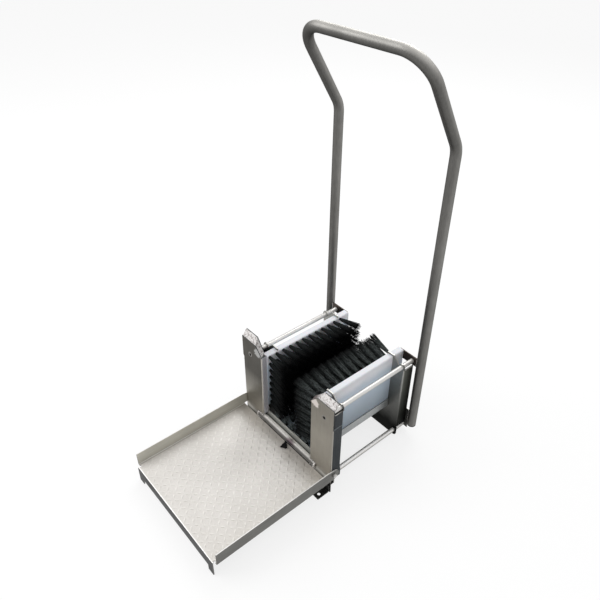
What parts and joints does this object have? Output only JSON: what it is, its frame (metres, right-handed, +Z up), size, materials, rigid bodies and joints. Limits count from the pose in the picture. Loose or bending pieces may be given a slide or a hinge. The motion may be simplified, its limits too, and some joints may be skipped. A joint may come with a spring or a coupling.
{
  "type": "boot scrubber",
  "caption": "Hand-operated boot scrubber: a stainless frame holding side and sole brushes under a tall bent-tube handle, with a checker-plate step that folds up in front.",
  "frame": {"origin": "on the floor, under the centre of the part's bounding box", "axes": "+X to the right hand of a person who stands on the step and faces the handle, +Y from the step towards the handle, +Z up"},
  "size_m": [0.3816, 0.6924, 1.0775],
  "materials": {
    "frame_steel": "brushed",
    "bright_steel": "bright drawn",
    "handle_steel": "fine brushed",
    "checker_steel": "pressed checker pattern, satin",
    "white_plastic": "machined matt",
    "black_bristle": "stiff nylon bristle",
    "black_rubber": "moulded"
  },
  "bodies": {
    "frame": {"front_plate": "frame_steel", "rear_plate": "frame_steel", "front_guard_right": "frame_steel", "front_guard_left": "frame_steel", "front_web": "frame_steel", "leg_bracket_right": "frame_steel", "leg_bracket_left": "frame_steel", "rear_web": "frame_steel", "floor_lug_right": "frame_steel", "floor_lug_left": "frame_steel", "top_rod_right": "bright_steel", "top_rod_left": "bright_steel", "bottom_rod_right": "bright_steel", "bottom_rod_left": "bright_steel", "front_bar": "bright_steel", "guard_screw_top_right": "bright_steel", "guard_screw_top_left": "bright_steel", "guard_screw_bottom_right": "bright_steel", "guard_screw_bottom_left": "bright_steel", "rear_screw_top_right": "bright_steel", "rear_screw_top_left": "bright_steel", "rear_screw_bottom_right": "bright_steel", "rear_screw_bottom_left": "bright_steel", "side_rail_right": "bright_steel", "side_rail_left": "bright_steel", "hinge_bolt_right": "bright_steel", "hinge_bolt_left": "bright_steel", "hinge_nut_right": "bright_steel", "hinge_nut_left": "bright_steel", "handle_tube": "handle_steel", "side_block_right": "white_plastic", "side_block_left": "white_plastic", "sole_block": "white_plastic", "side_bristles_right": "black_bristle", "side_bristles_left": "black_bristle", "sole_bristles": "black_bristle", "leg_plug_right": "black_rubber", "leg_plug_left": "black_rubber"},
    "step": {"step_deck": "checker_steel", "step_buffer": "black_rubber"}
  },
  "joints": [
    {"name": "step_hinge", "type": "hinge", "parent": "frame", "child": "step", "pos_m": [0, 0.02175, 0.068], "axis": [1, 0, 0], "range_deg": [-92, 0]}
  ]
}
